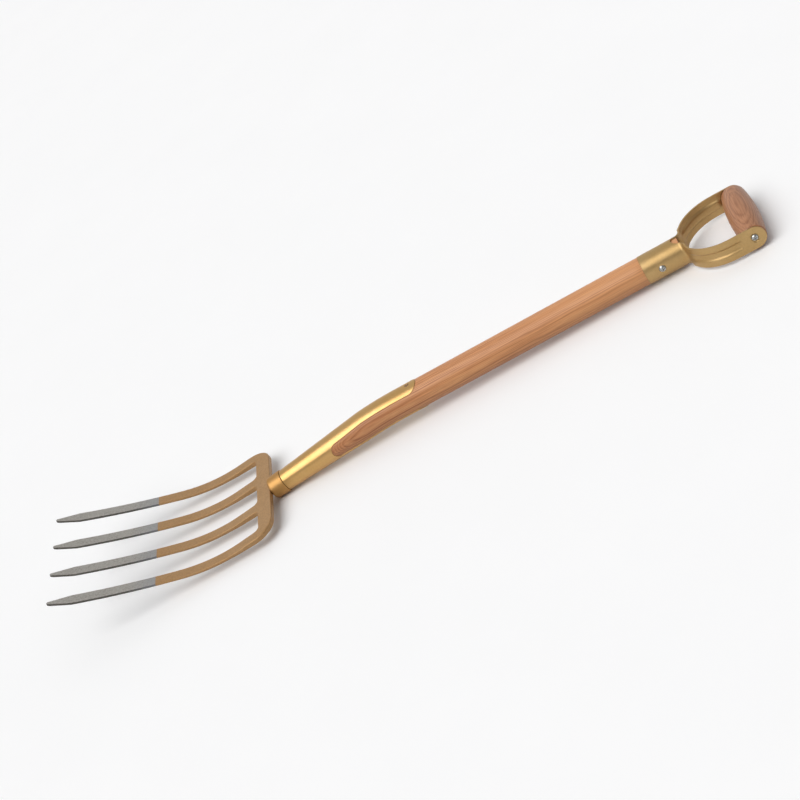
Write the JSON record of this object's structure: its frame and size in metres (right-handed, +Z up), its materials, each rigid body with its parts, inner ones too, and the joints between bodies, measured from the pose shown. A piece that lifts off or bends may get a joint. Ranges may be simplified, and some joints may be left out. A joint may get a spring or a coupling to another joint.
{
  "type": "digging fork",
  "caption": "Garden digging fork: forged head with flat curved spear-point tines, strapped socket, cranked ash shaft and a D handle with a turned wooden grip.",
  "frame": {"origin": "on the ground under the middle of the fork's length, with the fork lying face up on its collar and grip", "axes": "+X from the tines to the handle, +Y to the left when looking along +X, +Z up, out of the hollow face of the tines"},
  "size_m": [1.0118, 0.2036, 0.0856],
  "materials": {
    "head_lacquer": "satin gold lacquer on forged steel; the tine ends are bare ground steel",
    "socket_lacquer": "glossy gold lacquer on pressed steel",
    "rivet_steel": "dark plain steel",
    "shaft_ash": "varnished ash, straight grain along the shaft",
    "yoke_lacquer": "satin gold lacquer on pressed steel",
    "screw_zinc": "bright zinc plate",
    "grip_ash": "varnished turned ash, oval growth rings",
    "rod_steel": "plain turned steel"
  },
  "bodies": {
    "root": {"fork_head": "head_lacquer", "neck_collar": "socket_lacquer", "strapped_socket": "socket_lacquer", "strap_rivet": "rivet_steel", "shaft": "shaft_ash", "handle_yoke": "yoke_lacquer", "yoke_screw_left": "screw_zinc", "yoke_screw_right": "screw_zinc", "grip": "grip_ash", "grip_rod": "rod_steel", "grip_screw_left": "screw_zinc", "grip_screw_right": "screw_zinc"}
  },
  "joints": []
}
